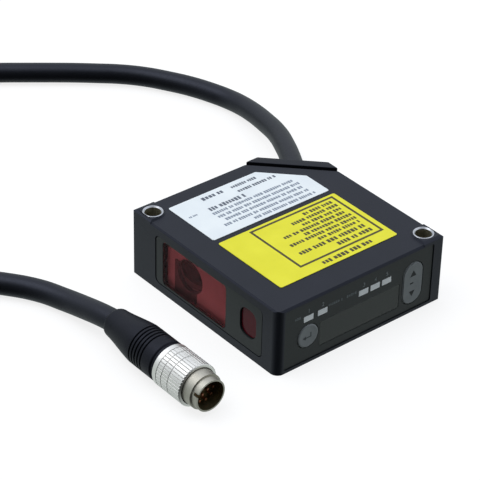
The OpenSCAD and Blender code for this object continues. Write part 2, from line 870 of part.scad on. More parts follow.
module coupling_sleeve() {
    r = sleeve_d / 2;
    bore_r = collar_r + run_gap;
    color("#c9cbd0") at_plug(sleeve_start) difference() {
        union() {
            cylinder(r = r - knurl_depth, h = sleeve_len);
            translate([0, 0, knurl_rim]) linear_extrude(sleeve_len - knurl_rim - knurl_rear_rim) knurl_outline();
            translate([0, 0, sleeve_len - knurl_rear_rim + ring_groove])
                cylinder(r = r, h = knurl_rear_rim - ring_groove);
        }
        translate([0, 0, -eps]) cylinder(r = bore_r, h = sleeve_len + 2 * eps);
        translate([0, 0, -eps]) cylinder(r = r - knurl_depth - sleeve_mouth_wall, h = sleeve_mouth + eps);
        translate([0, 0, sleeve_len - skirt_len]) cylinder(r = nose_r + run_gap, h = skirt_len + eps);
        for (z = ring_grooves) translate([0, 0, z]) difference() {
            cylinder(r = r + 1, h = ring_groove);
            translate([0, 0, -eps]) cylinder(r = r - knurl_depth - ring_cut, h = ring_groove + 2 * eps);
        }
    }
}

module plug_shell() {
    color("#c4c3bd") at_plug() difference() {
        union() {
            cylinder(d = shell_d, h = shell_nose + eps);
            translate([0, 0, shell_nose]) cylinder(r = collar_r, h = shell_len - shell_nose);
        }
        translate([0, 0, -eps]) cylinder(r = shell_d / 2 - shell_wall, h = shell_len + 2 * eps);
        rotate([0, 0, keyway_turn]) translate([0, -keyway_w / 2, -eps]) cube([shell_d, keyway_w, keyway_len]);
    }
}

// Places of the contacts: an outer ring, and a few in the middle
function pin_places() = concat(
    [for (i = [0 : outer_pins - 1]) let (a = 360 * i / outer_pins) outer_pin_ring * [cos(a), sin(a)]],
    [for (i = [0 : inner_pins - 1]) let (a = 360 * i / inner_pins) inner_pin_ring * [cos(a), sin(a)]]
);

module contact_insert() {
    color("#161616") at_plug(insert_face) difference() {
        cylinder(r = shell_d / 2 - shell_wall, h = shell_len - insert_face);
        for (p = pin_places()) translate([p[0], p[1], -eps]) cylinder(r = pin_r, h = shell_len, $fn = 24);
    }
}

module contact_pins() {
    color("#cdb36a") at_plug(pin_tip) for (p = pin_places())
        translate(p) cylinder(r = pin_r, h = shell_len + pin_tail - pin_tip, $fn = 24);
}

housing();
base_cover();
cover_seal();
front_panel();
receiver_window();
emitter_window();
optical_base();
lens_holder();
receiving_lens();
sensor_board();
image_sensor();
laser_barrel();
collimator_lens();
laser_diode();
main_board();
board_chips();
board_header();
display_board();
digit_display();
tact_switches();
rocker_seat();
display_panel();
display_window();
indicator_lights();
enter_key();
up_down_key();
mounting_collars();
plate_seal();
cable_plate();
cable_grommet();
cable_clamp();
cable_tail();
rating_label();
yellow_label();
cable();
connector_boot();
connector_body();
coupling_sleeve();
plug_shell();
contact_insert();
contact_pins();
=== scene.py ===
import math
import random

import bpy
from mathutils import Matrix, Vector


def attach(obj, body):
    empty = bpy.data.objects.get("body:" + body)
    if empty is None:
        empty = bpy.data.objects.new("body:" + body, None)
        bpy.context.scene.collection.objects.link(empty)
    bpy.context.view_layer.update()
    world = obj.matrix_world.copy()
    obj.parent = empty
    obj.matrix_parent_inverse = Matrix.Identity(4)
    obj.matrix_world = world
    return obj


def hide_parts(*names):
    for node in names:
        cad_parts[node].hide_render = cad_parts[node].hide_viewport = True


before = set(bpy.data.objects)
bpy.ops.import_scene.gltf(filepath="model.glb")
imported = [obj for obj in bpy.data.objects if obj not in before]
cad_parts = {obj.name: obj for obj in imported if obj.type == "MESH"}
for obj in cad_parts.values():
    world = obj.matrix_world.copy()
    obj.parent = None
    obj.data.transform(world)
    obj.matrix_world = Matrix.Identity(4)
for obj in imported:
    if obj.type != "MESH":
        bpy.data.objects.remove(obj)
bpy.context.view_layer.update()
mm = 0.001
print("frame loaded with", len(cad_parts), "nodes")


# camera: its place was worked out from the corners of the case in the photograph
cameraFacts = {
    "focalPx": 2120.4,  # focal length in pixels of the picture
    "picturePx": 480,
    "sensor": 36,  # mm
    "azimuth": -40.14,  # degrees, 0 looks along +Y
    "elevation": 33.7,
    "roll": 1.384,
    "distance": 566.2,  # mm from the aim point
    "aim": (0, 0, 9.9),  # mm, the middle of the case
    "slide": (-12.34, 3.92),  # mm, sideways and up in the picture's own directions
    "nearest": 10,  # mm, closer things are cut off
}


def setCamera(facts):
    a = math.radians(facts["azimuth"])
    e = math.radians(facts["elevation"])
    r = math.radians(facts["roll"])
    back = Vector((math.sin(a) * math.cos(e), -math.cos(a) * math.cos(e), math.sin(e)))
    right = Vector((math.cos(a), math.sin(a), 0))
    up = back.cross(right)
    rolledRight = math.cos(r) * right + math.sin(r) * up
    rolledUp = math.cos(r) * up - math.sin(r) * right
    across, raised = facts["slide"]
    place = Vector(facts["aim"]) + back * facts["distance"] + rolledRight * across + rolledUp * raised
    turn = Matrix((rolledRight, rolledUp, back)).transposed().to_4x4()
    bpy.ops.object.camera_add()
    camera = bpy.context.object
    camera.name = "photoCamera"
    camera.matrix_world = Matrix.Translation(place * mm) @ turn
    camera.data.sensor_width = facts["sensor"]
    camera.data.lens = facts["focalPx"] / facts["picturePx"] * facts["sensor"]
    camera.data.clip_start = facts["nearest"] * mm
    bpy.context.scene.camera = camera


setCamera(cameraFacts)
print("camera set")


# small helpers for colours, nodes and edit mode
def toLinear(code):
    channels = [int(code[i:i + 2], 16) / 255 for i in (1, 3, 5)]
    linear = [c / 12.92 if c <= 0.04045 else ((c + 0.055) / 1.055) ** 2.4 for c in channels]
    return (*linear, 1.0)


def addNode(tree, kind, settings=None, links=None):
    node = tree.nodes.new(kind)
    for key, value in (settings or {}).items():
        if key == "stops":  # (place, colour code) for each stop of a ramp
            for stop, (spot, code) in zip(node.color_ramp.elements, value):
                stop.position = spot
                stop.color = toLinear(code)
        elif key in node.inputs:
            node.inputs[key].default_value = value
        else:
            setattr(node, key, value)
    for key, source in (links or {}).items():
        tree.links.new(source, node.inputs[key])
    return node


def deselectAll():
    if bpy.context.object and bpy.context.object.mode != "OBJECT":
        bpy.ops.object.mode_set(mode="OBJECT")
    bpy.ops.object.select_all(action="DESELECT")


def makeActive(piece):
    deselectAll()
    piece.select_set(True)
    bpy.context.view_layer.objects.active = piece


def editAll(piece):
    makeActive(piece)
    bpy.ops.object.mode_set(mode="EDIT")
    bpy.ops.mesh.select_mode(type="VERT")
    bpy.ops.mesh.select_all(action="SELECT")


def applyModifiers(piece):
    makeActive(piece)
    for modifier in list(piece.modifiers):
        bpy.ops.object.modifier_apply(modifier=modifier.name)


def settle(piece):
    # the place goes into the mesh, so that the object itself sits at the origin
    makeActive(piece)
    bpy.ops.object.transform_apply(location=True, rotation=True, scale=True)


def smoothBy(piece, degrees=35):
    makeActive(piece)
    bpy.ops.object.shade_smooth_by_angle(angle=math.radians(degrees))


def joinPieces(pieces, name):
    deselectAll()
    for piece in pieces:
        piece.select_set(True)
    bpy.context.view_layer.objects.active = pieces[0]
    bpy.ops.object.join()
    joined = bpy.context.object
    joined.name = name
    return joined


def dressPiece(piece, material, body, slot, *nodes):
    piece.data.materials.clear()
    piece.data.materials.append(material)
    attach(piece, body)
    if nodes:
        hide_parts(*nodes)


# lead: it leaves the cut corner, lies on the floor in one wide loop and comes back to its connector
leadFacts = {
    "diameter": 6.2,  # mm, as all that follows unless it says otherwise
    "rest": 3.1,  # height of its middle where it lies
    "length": 0.457,  # metres of lead between strain relief and boot
    "exit": (25.614, 27.114, 9.95),
    "rising": [
        (29.4, 31.2, 9.8), (33.6, 37.6, 9.3), (37.6, 44.7, 8.5), (41.6, 52.7, 7.3), (44.8, 62, 5.8),
        (47, 70.8, 4.5), (47.9, 77.3, 3.6),
    ],
    "lying": [
        (47.7, 83), (46.5, 87.7), (43.6, 95.8), (39.9, 103), (35.7, 109.7), (30.7, 115.5), (25.1, 120.5),
        (19.4, 125.3), (13.5, 129.9), (7.6, 134.4), (1.7, 138.8), (-14, 149.3), (-31, 158.7), (-50, 166),
        (-71, 170), (-92, 168.5), (-110.5, 161), (-125, 147.5), (-133, 130), (-134, 111), (-127.5, 94),
        (-116, 81), (-102, 71), (-88, 63.3), (-76, 55.8), (-68, 49.6), (-61.8, 42.9), (-56.2, 34.6),
    ],
    "lifting": [(-53.5, 26.8, 3.4), (-52.3, 19.3, 4.5), (-51.7, 13, 5.6), (-51.1, 7.8, 6.1)],
    "steps": 10,  # fineness of its mesh, along it and round it
}


def makeLead(facts):
    points = [facts["exit"], *facts["rising"]]
    points += [(x, y, facts["rest"]) for x, y in facts["lying"]]
    points += facts["lifting"]
    deselectAll()
    bpy.ops.curve.primitive_bezier_curve_add()
    lead = bpy.context.object
    lead.name = "lead"
    line = lead.data.splines[0]
    line.bezier_points.add(len(points) - 2)
    for knot, point in zip(line.bezier_points, points):
        knot.co = Vector(point) * mm
        knot.handle_left_type = "AUTO"
        knot.handle_right_type = "AUTO"
    lead.data.resolution_u = facts["steps"]
    lead.data.bevel_depth = facts["diameter"] / 2 * mm
    lead.data.bevel_resolution = facts["steps"]
    lead.data.use_fill_caps = True
    return lead


lead = makeLead(leadFacts)
print("lead laid")


# finishes: what each real material is, and what that gives the eye
def startFinish(name, sockets):
    material = bpy.data.materials.new(name)
    material.use_nodes = True
    tree = material.node_tree
    shader = tree.nodes["Principled BSDF"]
    for socket, value in sockets.items():
        shader.inputs[socket].default_value = value
    place = addNode(tree, "ShaderNodeTexCoord").outputs["Object"]
    return material, tree, shader, place


def mottle(tree, shader, place, size, codes):
    # two close shades in soft clouds of that size
    clouds = addNode(tree, "ShaderNodeTexNoise", {"Scale": 1 / (size * mm), "Detail": 3}, {"Vector": place})
    stops = zip((0.3, 0.7), codes)  # noise seldom goes further out
    shades = addNode(tree, "ShaderNodeValToRGB", {"stops": stops}, {"Fac": clouds.outputs["Fac"]})
    tree.links.new(shades.outputs["Color"], shader.inputs["Base Color"])


def roughen(tree, shader, height, rough, depth):
    # the same height drives the unevenness of the gloss and of the surface
    gloss = addNode(
        tree, "ShaderNodeMapRange", {"To Min": rough[0], "To Max": rough[1]}, {"Value": height}
    )
    tree.links.new(gloss.outputs["Result"], shader.inputs["Roughness"])
    bump = addNode(tree, "ShaderNodeBump", {"Distance": depth * mm}, {"Height": height})
    tree.links.new(bump.outputs["Normal"], shader.inputs["Normal"])


def grainedFinish(name, look):
    material, tree, shader, place = startFinish(name, look.get("sockets", {}))
    mottle(tree, shader, place, look["cloud"], look["codes"])
    grain = addNode(
        tree, "ShaderNodeTexNoise", {"Scale": 1 / (look["grain"] * mm), "Detail": 2}, {"Vector": place}
    )
    roughen(tree, shader, grain.outputs["Fac"], look["rough"], look["depth"])
    return material


paintedBlueSheen = toLinear("#dce4ff")  # painted sheen: the blue cast of light reflected from the sky, put into the gloss of the black plastics

# grain and cloud sizes are in mm: the real grain and turning lines are about 0.1 mm or finer, and are drawn
# coarser, up to several times, so that they show

# PBT with glass fibre, moulded in a spark-eroded tool: a satin charcoal with a fine even grain
casePbt = grainedFinish("mouldedPbt", {
    "codes": ("#0d0f15", "#12141b"), "cloud": 9, "grain": 0.35, "depth": 0.02, "rough": (0.36, 0.5),
    "sockets": {"IOR": 1.5, "Specular IOR Level": 0.35, "Specular Tint": paintedBlueSheen},
})
# PBT from a smoother tool, for cover and cable plate: darker, because less of it scatters light
smoothPbt = grainedFinish("smoothPbt", {
    "codes": ("#0a0b0e", "#0f1014"), "cloud": 8, "grain": 0.5, "depth": 0.012, "rough": (0.34, 0.46),
    "sockets": {"IOR": 1.5, "Specular IOR Level": 0.32, "Specular Tint": paintedBlueSheen},
})
# polycarbonate panel with a matt print on it: almost black with a hint of green, and a faint orange peel
panelPolycarbonate = grainedFinish("mattPolycarbonate", {
    "codes": ("#11191b", "#161f20"), "cloud": 14, "grain": 0.8, "depth": 0.006, "rough": (0.34, 0.46),
    "sockets": {"IOR": 1.58, "Specular IOR Level": 0.25},
})
# silicone rubber keys: soft grey that hardly shines
keySilicone = grainedFinish("keySilicone", {
    "codes": ("#828789", "#8c9193"), "cloud": 3, "grain": 0.3, "depth": 0.012, "rough": (0.55, 0.7),
    "sockets": {"IOR": 1.41, "Specular IOR Level": 0.3},
})
# PVC sheath, extruded: black with a soft sheen and a faint skin
leadPvc = grainedFinish("extrudedPvc", {
    "codes": ("#0f1013", "#15161a"), "cloud": 12, "grain": 0.7, "depth": 0.02, "rough": (0.36, 0.5),
    "sockets": {"IOR": 1.53, "Specular IOR Level": 0.34, "Specular Tint": paintedBlueSheen},
})
# TPE boot, moulded over the lead: black, rubbery, duller than the sheath
bootTpe = grainedFinish("mouldedTpe", {
    "codes": ("#0b0c10", "#101116"), "cloud": 5, "grain": 0.4, "depth": 0.02, "rough": (0.42, 0.58),
    "sockets": {"IOR": 1.5, "Specular IOR Level": 0.26, "Specular Tint": paintedBlueSheen},
})
# nitrile rubber seal: dead black
sealNitrile = grainedFinish("nitrileRubber", {
    "codes": ("#070708", "#0c0c0d"), "cloud": 2, "grain": 0.25, "depth": 0.01, "rough": (0.7, 0.85),
    "sockets": {"Specular IOR Level": 0.2},
})
# polyester label film, white with a faint blue: nearly flat with a low sheen
labelWhite = grainedFinish("whitePolyester", {
    "codes": ("#e5ecef", "#edf3f4"), "cloud": 7, "grain": 1.2, "depth": 0.004, "rough": (0.32, 0.42),
    "sockets": {"IOR": 1.57, "Specular IOR Level": 0.3},
})
# polyester label film printed solid yellow: an even, clear yellow with a low sheen
labelYellow = grainedFinish("yellowPolyester", {
    "codes": ("#e3de22", "#ebe62e"), "cloud": 7, "grain": 1.2, "depth": 0.004, "rough": (0.32, 0.42),
    "sockets": {"IOR": 1.57, "Specular IOR Level": 0.25},
})
# screen inks: thin and flat, in the shades that the print on each surface has
printInks = {
    "darkInk": ("#4a452c", "#565036"),  # on yellow
    "greyInk": ("#59606c", "#6a717d"),  # on white
    "faintInk": ("#7f8997", "#8b95a3"),  # fine print on white
    "paleInk": ("#7b8386", "#878f92"),  # numbers on the key panel
    "dimInk": ("#5c6366", "#666d70"),  # fine print on the key panel
    "markInk": ("#1d2022", "#25282b"),  # on the rocker
    "softInk": ("#4b5053", "#55595c"),  # on the round key
}
inks = {}
for name, codes in printInks.items():
    inks[name] = grainedFinish(name, {
        "codes": codes, "cloud": 1, "grain": 0.4, "depth": 0.002, "rough": (0.5, 0.62),
        "sockets": {"Specular IOR Level": 0.25},
    })
# PPS, black and hard, on the display's body: swallows most light; inside the lens holder's hole and on the
# plate in front of it the same black is painted shade
blackPpsAndShade = grainedFinish("blackPpsAndShade", {
    "codes": ("#080809", "#0d0d0f"), "cloud": 3, "grain": 0.3, "depth": 0.01, "rough": (0.5, 0.65),
    "sockets": {"Specular IOR Level": 0.25},
})
# PBT of the contact insert: mid brown, nearly black to the eye because it lies deep in the plug
brownPbt = grainedFinish("brownPbt", {
    "codes": ("#83704a", "#907c55"), "cloud": 3, "grain": 0.3, "depth": 0.01, "rough": (0.45, 0.6),
})
# lens holder, moulded in grey PPS: a flat mid grey that shows behind the red window
greyPps = grainedFinish("greyPps", {
    "codes": ("#7d7674", "#888180"), "cloud": 4, "grain": 0.3, "depth": 0.01, "rough": (0.5, 0.65),
})
# epoxy chip bodies: matt black with a fine moulding grain
chipEpoxy = grainedFinish("mouldedEpoxy", {
    "codes": ("#161617", "#1f1f20"), "cloud": 2, "grain": 0.2, "depth": 0.01, "rough": (0.6, 0.75),
})
# milky polycarbonate light pipes: pale grey when unlit
milkyPolycarbonate = grainedFinish("milkyPolycarbonate", {
    "codes": ("#ecf0f2", "#f3f7f9"), "cloud": 2, "grain": 0.6, "depth": 0.004, "rough": (0.3, 0.4),
    "sockets": {"IOR": 1.58, "Subsurface Weight": 0.2, "Subsurface Radius": (0.001, 0.001, 0.001)},
})
# epoxy in the digits' segments, unlit: a dull grey-green behind the smoked window
segmentEpoxy = grainedFinish("segmentEpoxy", {
    "codes": ("#5c625b", "#666c65"), "cloud": 1, "grain": 0.5, "depth": 0.004, "rough": (0.4, 0.5),
})


def metalFinish(name, look):
    # metals show their surface by its uneven gloss more than by their colour
    material, tree, shader, place = startFinish(name, {"Metallic": 1.0})
    mottle(tree, shader, place, look["cloud"], look["codes"])
    stretch = addNode(
        tree, "ShaderNodeMapping", {"Scale": [1 / (s * mm) for s in look["grain"]]}, {"Vector": place}
    )
    grain = addNode(
        tree, "ShaderNodeTexNoise", {"Scale": 1.0, "Detail": 3}, {"Vector": stretch.outputs["Vector"]}
    )
    roughen(tree, shader, grain.outputs["Fac"], look["rough"], look["depth"])
    return material


# nickel plate, satin, on turned brass: bright silver with fine turning lines round the connector
satinNickel = metalFinish("satinNickel", {
    "codes": ("#e6e5e0", "#efeee9"), "cloud": 4, "grain": (2, 0.12, 2), "depth": 0.003, "rough": (0.32, 0.46),
})
# the same plate in the grooves of the knurl: rougher, and a shade darker as painted shade in the grooves
grooveShadeNickel = metalFinish("grooveShadeNickel", {
    "codes": ("#cfcecb", "#dad9d6"), "cloud": 1, "grain": (1, 0.3, 1), "depth": 0.01, "rough": (0.5, 0.65),
})
# nickel plate on blasted brass, for the plug's shell and the body behind it: duller and a little warmer
blastedNickel = metalFinish("blastedNickel", {
    "codes": ("#b4b1a6", "#c0bdb2"), "cloud": 4, "grain": (2, 0.15, 2), "depth": 0.002, "rough": (0.44, 0.58),
})
# nickel inside the plug's shell: olive, darker and dull, as painted shade deep in the plug's mouth
shellShadeNickel = metalFinish("shellShadeNickel", {
    "codes": ("#857f60", "#969071"), "cloud": 2, "grain": (1, 0.3, 1), "depth": 0.005, "rough": (0.4, 0.55),
})
# zinc-plated steel collars, turned: pale grey, slightly dull
platedSteel = metalFinish("platedSteel", {
    "codes": ("#bfc1c6", "#cdcfd3"), "cloud": 3, "grain": (1.5, 1.5, 0.12), "depth": 0.003,
    "rough": (0.26, 0.4),
})
# bore of a collar: brownish, darker and dull, as painted shade deep in the bore
boreShadeSteel = metalFinish("boreShadeSteel", {
    "codes": ("#96927f", "#aaa692"), "cloud": 2, "grain": (1.5, 1.5, 0.2), "depth": 0.01, "rough": (0.5, 0.7),
})
# cast aluminium base: grey, with the coarse grain of the die
castAlloy = metalFinish("castAluminium", {
    "codes": ("#86898d", "#96999c"), "cloud": 5, "grain": (0.5, 0.5, 0.5), "depth": 0.02, "rough": (0.4, 0.6),
})
# brass laser barrel, turned along X: yellow, with fine lines round it
turnedBrass = metalFinish("turnedBrass", {
    "codes": ("#a98f4c", "#b99f5b"), "cloud": 4, "grain": (0.1, 2, 2), "depth": 0.004, "rough": (0.22, 0.36),
})
# gold flash on the diode can: bright and almost smooth
goldFlash = metalFinish("goldFlash", {
    "codes": ("#c9a24e", "#d6b163"), "cloud": 1, "grain": (1, 0.2, 1), "depth": 0.001, "rough": (0.16, 0.28),
})
# thin gold over copper on the contacts: a dull reddish brown deep in the plug
wornGold = metalFinish("wornGold", {
    "codes": ("#a8705a", "#bc8266"), "cloud": 1, "grain": (1, 0.2, 1), "depth": 0.002, "rough": (0.3, 0.42),
})


flowDepth = 0.002  # mm, flow marks can be seen and hardly felt


def clearFinish(name, look):
    # clear plastics: colour in depth, smooth skin, faint flow marks from the mould
    material, tree, shader, place = startFinish(name, {
        "Base Color": toLinear(look["code"]), "Transmission Weight": look["clear"], "IOR": look["ior"],
        "Specular IOR Level": look.get("shine", 0.5), "Coat Weight": look.get("coat", 0.0),
    })
    flow = addNode(
        tree, "ShaderNodeTexNoise", {"Scale": 1 / (look["flow"] * mm), "Detail": 1}, {"Vector": place}
    )
    roughen(tree, shader, flow.outputs["Fac"], look["rough"], flowDepth)
    return material


# cast acrylic, red through and through and coated against reflections (hence the low index): dusky red
# that lets the lens and its baffle show as a darker patch
redAcrylic = clearFinish("redAcrylic", {
    "code": "#f2acb0", "clear": 0.98, "ior": 1.08, "shine": 0.05, "flow": 9, "rough": (0.02, 0.04),
})
# the same acrylic, thick and deep red, over the emitter: it shows nothing behind it
deepRedAcrylic = clearFinish("deepRedAcrylic", {
    "code": "#5c1420", "clear": 0.2, "ior": 1.49, "shine": 0.04, "flow": 6, "rough": (0.08, 0.16),
})
# smoked acrylic over the digits: almost black, with a green cast
smokedAcrylic = clearFinish("smokedAcrylic", {
    "code": "#333e39", "clear": 0.55, "ior": 1.49, "shine": 0.2, "flow": 9, "rough": (0.1, 0.18),
})
# optical glass with its blue-green coating: clear, with a hard gloss
coatedGlass = clearFinish("coatedGlass", {
    "code": "#a9c2cc", "clear": 0.95, "ior": 1.52, "flow": 20, "rough": (0.01, 0.02), "coat": 0.3,
})
# receiving lens of dark filter glass, made nearly black from outside as painted shade of the dark space
# behind it, with a glassy skin
lensShadeGlass = clearFinish("lensShadeGlass", {
    "code": "#0c0f11", "clear": 0.1, "ior": 1.3, "shine": 0.3, "flow": 20, "rough": (0.02, 0.04),
})


def boardFinish(name, look):
    material, tree, shader, place = startFinish(name, {"IOR": 1.5, "Specular IOR Level": 0.5})
    mask = toLinear(look["mask"])
    traces = addNode(
        tree, "ShaderNodeTexBrick",
        {"Color1": mask, "Color2": mask, "Mortar": toLinear(look["trace"]),
         "Scale": 1 / (look["pitch"] * mm), "Mortar Size": look["line"],
         "Brick Width": look["run"], "Row Height": look["row"]},
        {"Vector": place},
    )
    tree.links.new(traces.outputs["Color"], shader.inputs["Base Color"])
    roughen(tree, shader, traces.outputs["Fac"], look["rough"], look["depth"])
    return material


# solder mask over copper: green, with lighter traces that run straight
solderMask = boardFinish("solderMask", {
    "mask": "#1c5e36", "trace": "#2c7a48", "rough": (0.3, 0.38), "depth": 0.02,
    "pitch": 1.6, "line": 0.06, "run": 2.4, "row": 0.5,  # mm, and then shares of it
})
print("finishes mixed:", len(bpy.data.materials))


# solids that stay as they are only get a finish
plainNodes = {
    "cover_seal": sealNitrile, "plate_seal": sealNitrile, "optical_base": castAlloy,
    "receiving_lens": lensShadeGlass, "sensor_board": solderMask,
    "image_sensor": chipEpoxy, "laser_barrel": turnedBrass, "collimator_lens": coatedGlass,
    "laser_diode": goldFlash, "main_board": solderMask, "board_chips": chipEpoxy,
    "board_header": chipEpoxy, "display_board": solderMask, "digit_display": blackPpsAndShade,
    "tact_switches": chipEpoxy, "rocker_seat": blackPpsAndShade, "cable_clamp": platedSteel,
    "cable_tail": leadPvc,
}
for node, material in plainNodes.items():
    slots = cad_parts[node].data.materials
    slots.clear()
    slots.append(material)


# moulded and cut pieces: a merged copy of the solid, its edges rounded as the tool leaves them
edgeFacts = {
    "merge": 0.002,  # mm, corners closer than this are one
    "flat": 0.5, "sharp": 35,  # degrees between faces: one face up to the first, an edge from the second
    "steps": 2,  # faces across a rounded edge
    "largeFaces": 90,  # how far the large faces decide the shading
}


def roundedCopy(node, name, rounding, reshape=None):
    piece = bpy.data.objects.new(name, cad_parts[node].data.copy())
    bpy.context.scene.collection.objects.link(piece)
    makeActive(piece)
    bpy.ops.mesh.customdata_custom_splitnormals_clear()
    editAll(piece)
    bpy.ops.mesh.remove_doubles(threshold=edgeFacts["merge"] * mm)
    bpy.ops.mesh.dissolve_limited(angle_limit=math.radians(edgeFacts["flat"]))
    bpy.ops.object.mode_set(mode="OBJECT")
    if reshape:
        reshape(piece)
    if rounding:
        bevel = piece.modifiers.new("edges", "BEVEL")
        bevel.limit_method = "ANGLE"
        bevel.angle_limit = math.radians(edgeFacts["sharp"])
        bevel.width = rounding * mm
        bevel.segments = edgeFacts["steps"]
        bevel.miter_outer = "MITER_ARC"
        applyModifiers(piece)
    smoothBy(piece)
    flatten = piece.modifiers.new("flatFaces", "WEIGHTED_NORMAL")  # keeps the large faces flat to the eye
    flatten.keep_sharp = True
    flatten.weight = edgeFacts["largeFaces"]
    applyModifiers(piece)
    return piece


def paintFaces(piece, material, belongs):
    # a second finish for the faces whose corners all pass the test
    piece.data.materials.append(material)
    last = len(piece.data.materials) - 1
    for face in piece.data.polygons:
        if all(belongs(piece.data.vertices[i].co / mm) for i in face.vertices):
            face.material_index = last


# collars: turned tubes pressed into the columns, bevelled at both ends, bore painted darker as painted shade
collars = {
    "holes": [(-25, 25.8), (25, -25.8)], "outer": 2.9, "bore": 2.25, "top": 20.4, "sides": 64,
    "bevel": 0.28, "footEdge": 0.1, "topEdge": 0.12, "shadeTo": 2.3,  # radius up to which the bore is painted with shade
}
# the low step round each collar runs out in a slope, except where it meets the outer walls
pads = {"from": 3.1, "reach": 6.8, "shrink": 0.88, "inside": (28.2, 29.7), "level": 0.05}


def pickVertices(piece, belongs):
    for parts in (piece.data.polygons, piece.data.edges):
        for part in parts:
            part.select = False
    for vertex in piece.data.vertices:
        vertex.select = belongs(vertex.co / mm)
    makeActive(piece)
    bpy.ops.object.mode_set(mode="EDIT")
    bpy.ops.mesh.select_mode(type="VERT")


def slopePads(piece):
    wallX, wallY = pads["inside"]
    for x, y in collars["holes"]:
        axis = Vector((x, y, collars["top"]))

        def onRim(spot):
            inside = abs(spot.x) < wallX and abs(spot.y) < wallY
            near = pads["from"] < (spot.xy - axis.xy).length < pads["reach"]
            return inside and near and abs(spot.z - axis.z) < pads["level"]

        pickVertices(piece, onRim)
        bpy.ops.transform.resize(value=(pads["shrink"], pads["shrink"], 1), center_override=axis * mm)
        bpy.ops.object.mode_set(mode="OBJECT")


mouldedPieces = {
    # node: name, rounding in mm, finish, slot, body
    "housing": ("caseShell", 0.16, casePbt, "case_plastic", "case"),
    "base_cover": ("baseCover", 0.2, smoothPbt, "case_plastic", "case"),
    "front_panel": ("frontPanel", 0.16, panelPolycarbonate, "front_acrylic", "case"),
    "receiver_window": ("receiverWindow", 0.03, redAcrylic, "red_acrylic", "case"),
    "emitter_window": ("emitterWindow", 0.1, deepRedAcrylic, "red_acrylic", "case"),
    "lens_holder": ("lensHolder", 0, greyPps, "holder_plastic", "case"),  # stays sharp, deep inside
    "display_panel": ("keyPanel", 0.05, panelPolycarbonate, "key_panel", "case"),
    "display_window": ("displayWindow", 0.08, smokedAcrylic, "smoked_acrylic", "case"),
    "indicator_lights": ("lightPipes", 0.12, milkyPolycarbonate, "light_acrylic", "case"),
    "up_down_key": ("rockerKey", 0.22, keySilicone, "key_plastic", "up_down_key"),
    "cable_plate": ("cablePlate", 0.2, smoothPbt, "case_plastic", "case"),
    "cable_grommet": ("strainRelief", 0.3, bootTpe, "boot_rubber", "case"),
    "rating_label": ("whiteLabel", 0.04, labelWhite, "label_white", "case"),
    "yellow_label": ("yellowLabel", 0.04, labelYellow, "label_yellow", "case"),
    "connector_body": ("connectorBody", 0.15, blastedNickel, "nickel", "case"),
    "plug_shell": ("plugShell", 0.2, blastedNickel, "nickel", "case"),
    "contact_insert": ("contactInsert", 0.06, brownPbt, "chip_plastic", "case"),
    "contact_pins": ("contactPins", 0.16, wornGold, "gold_plate", "case"),
}
moulded = {}
for node, (name, rounding, material, slot, body) in mouldedPieces.items():
    reshape = slopePads if node == "housing" else None
    moulded[name] = roundedCopy(node, name, rounding, reshape=reshape)
    dressPiece(moulded[name], material, body, slot, node)
print("moulded pieces rounded:", len(mouldedPieces))


# inside of the lens holder's hole is painted black as painted shade, so that only the lens looks out of it
lensHole = {"middle": (-21.4, 9.45, 9.95), "turn": 22, "radius": 4.85}


def inLensHole(spot):
    turn = math.radians(lensHole["turn"])
    along = Vector((math.cos(turn), math.sin(turn), 0))
    away = spot - Vector(lensHole["middle"])
    return (away - along * away.dot(along)).length < lensHole["radius"]


paintFaces(moulded["lensHolder"], blackPpsAndShade, inLensHole)

# shade plate: thin black plate on the front of the holder, round the lens's line of sight, whose black is
# painted shade behind the red window
shadePlate = {
    "middle": (-26.455, 9.2, 7.3), "size": (0.12, 9.2, 10.6), "corner": 0.6, "cornerSteps": 4,
    "sight": 4.75, "sightSides": 64, "cutLength": 6,  # radius of the lens's line of sight, and its cutter
}


def makeShadePlate(facts):
    middle = Vector(facts["middle"])
    deselectAll()
    bpy.ops.mesh.primitive_cube_add(size=mm, location=middle * mm)
    plate = bpy.context.object
    plate.name = "shadePlate"
    editAll(plate)
    bpy.ops.transform.resize(value=facts["size"], center_override=middle * mm)
    bpy.ops.mesh.select_all(action="DESELECT")
    bpy.ops.mesh.select_mode(type="EDGE")
    bpy.ops.object.mode_set(mode="OBJECT")
    for edge in plate.data.edges:
        a, b = (plate.data.vertices[i].co for i in edge.vertices)
        edge.select = abs(a.x - b.x) > facts["size"][0] / 2 * mm  # the four edges through the plate
    bpy.ops.object.mode_set(mode="EDIT")
    bpy.ops.mesh.bevel(offset=facts["corner"] * mm, segments=facts["cornerSteps"])
    bpy.ops.object.mode_set(mode="OBJECT")
    hole = Vector(lensHole["middle"])
    turn = math.radians(lensHole["turn"])
    forward = middle.x - hole.x
    onPlate = hole + Vector((forward, forward * math.tan(turn), 0))
    bpy.ops.mesh.primitive_cylinder_add(
        vertices=facts["sightSides"], radius=facts["sight"] * mm, depth=facts["cutLength"] * mm,
        location=onPlate * mm, rotation=(0, math.pi / 2, turn),
    )
    cutter = bpy.context.object
    cut = plate.modifiers.new("sight", "BOOLEAN")
    cut.operation = "DIFFERENCE"
    cut.object = cutter
    applyModifiers(plate)
    bpy.data.objects.remove(cutter)
    settle(plate)
    smoothBy(plate)
    dressPiece(plate, blackPpsAndShade, "case", "holder_plastic")


makeShadePlate(shadePlate)

# connector axis: its tip, from which distances run back along +Y
plug = {"tip": (-51.1, -31.6, 6.1), "shadeTo": 4.11}  # radius up to which the shell's inside is painted with shade


def plugRadius(spot):
    return math.hypot(spot.x - plug["tip"][0], spot.z - plug["tip"][2])


paintFaces(moulded["plugShell"], shellShadeNickel, lambda spot: plugRadius(spot) < plug["shadeTo"])

dressPiece(lead, leadPvc, "case", "cable_pvc", "cable")


# turned pieces: a profile of (radius, distance along the axis), spun round the axis
seam = 0.001  # mm, where the spin meets itself


